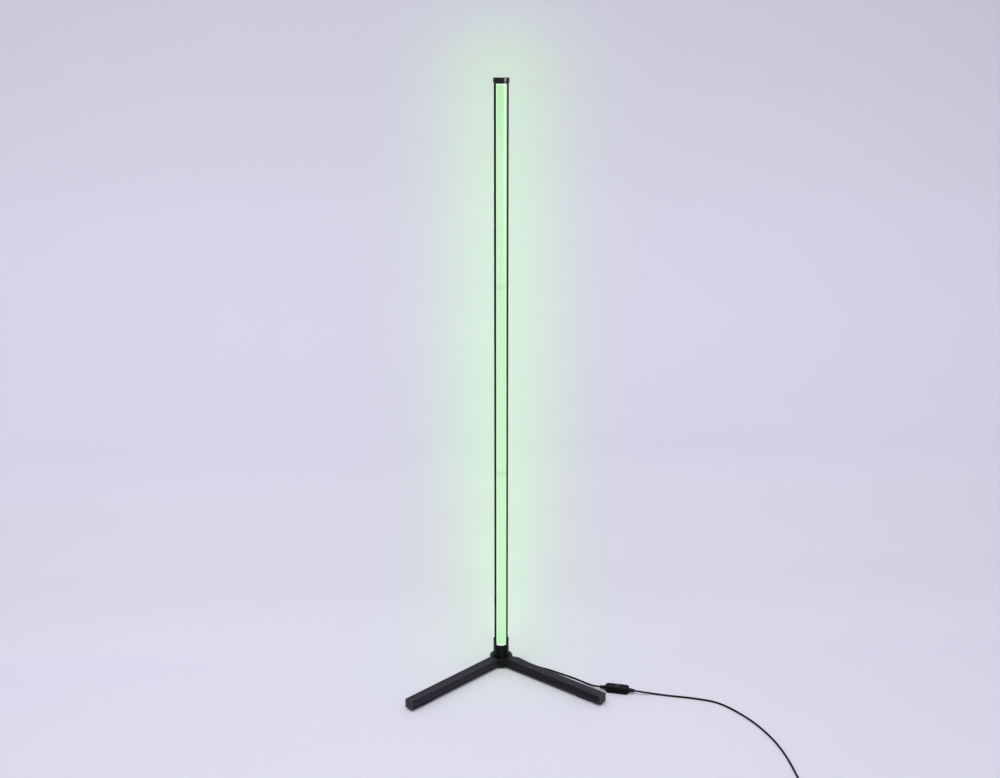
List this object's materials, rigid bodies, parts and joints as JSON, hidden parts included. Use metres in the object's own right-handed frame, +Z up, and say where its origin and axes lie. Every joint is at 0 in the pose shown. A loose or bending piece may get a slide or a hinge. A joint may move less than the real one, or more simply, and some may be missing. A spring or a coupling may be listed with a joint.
{
  "type": "led light tube",
  "caption": "Slim floor-standing LED light tube: stacked channel sections with opal diffusers on a low V-shaped base, with an in-line push-button controller and a coiled USB lead.",
  "frame": {"origin": "on the floor under the tube's axis, at the centre of the hub's rubber foot", "axes": "+Z up the tube; the light faces -Y, and the two legs spread evenly to either side of -Y"},
  "size_m": [0.7381, 0.5905, 1.263],
  "materials": {
    "channel": "black anodised, satin",
    "diffuser": "opal extrusion, lit pale green",
    "coated_steel": "satin black powder coat",
    "hub_coating": "satin black powder coat",
    "gloss_cap": "gloss black",
    "moulded_black": "fine moulded grain",
    "controller_case": "semi-gloss brown-black",
    "board": "white solder mask",
    "rubber": "matt",
    "cord_jacket": "satin",
    "screw_steel": "black oxide",
    "plated_steel": "bright plated"
  },
  "bodies": {
    "root": {"cap_screw": "screw_steel", "channel_1": "channel", "channel_2": "channel", "channel_3": "channel", "coil_tie": "rubber", "controller_board": "board", "controller_boot_in": "rubber", "controller_boot_out": "rubber", "controller_lower_shell": "controller_case", "controller_screw_1": "screw_steel", "controller_screw_2": "screw_steel", "controller_upper_shell": "controller_case", "cord_coil": "cord_jacket", "cord_gland": "rubber", "cover_screw_1": "screw_steel", "cover_screw_2": "screw_steel", "diffuser_1": "diffuser", "diffuser_2": "diffuser", "diffuser_3": "diffuser", "hub_body": "hub_coating", "hub_cover": "hub_coating", "hub_foot": "rubber", "hub_screw": "screw_steel", "hub_wires": "cord_jacket", "joiner_1": "moulded_black", "joiner_2": "moulded_black", "joint_screw_1_high": "screw_steel", "joint_screw_1_low": "screw_steel", "joint_screw_2_high": "screw_steel", "joint_screw_2_low": "screw_steel", "lead_cord": "cord_jacket", "led_strip_1": "board", "led_strip_2": "board", "led_strip_3": "board", "left_leg": "coated_steel", "left_leg_cap": "moulded_black", "left_leg_pad": "rubber", "left_leg_screw_1": "screw_steel", "left_leg_screw_2": "screw_steel", "push_switch": "moulded_black", "right_leg": "coated_steel", "right_leg_cap": "moulded_black", "right_leg_pad": "rubber", "right_leg_screw_1": "screw_steel", "right_leg_screw_2": "screw_steel", "strip_plug_1": "moulded_black", "strip_plug_2": "moulded_black", "strip_plug_3": "moulded_black", "strip_socket_1": "moulded_black", "strip_socket_2": "moulded_black", "strip_socket_3": "moulded_black", "supply_cord": "cord_jacket", "top_cap": "gloss_cap", "usb_body": "moulded_black", "usb_shell": "plated_steel", "usb_tongue": "board"},
    "button": {"controller_button": "controller_case", "switch_plunger": "moulded_black"}
  },
  "joints": [
    {"name": "button_press", "type": "slide", "parent": "root", "child": "button", "axis": [0, 0, -1], "range_m": [0, 0.0005], "stiffness_N_per_m": 800}
  ]
}
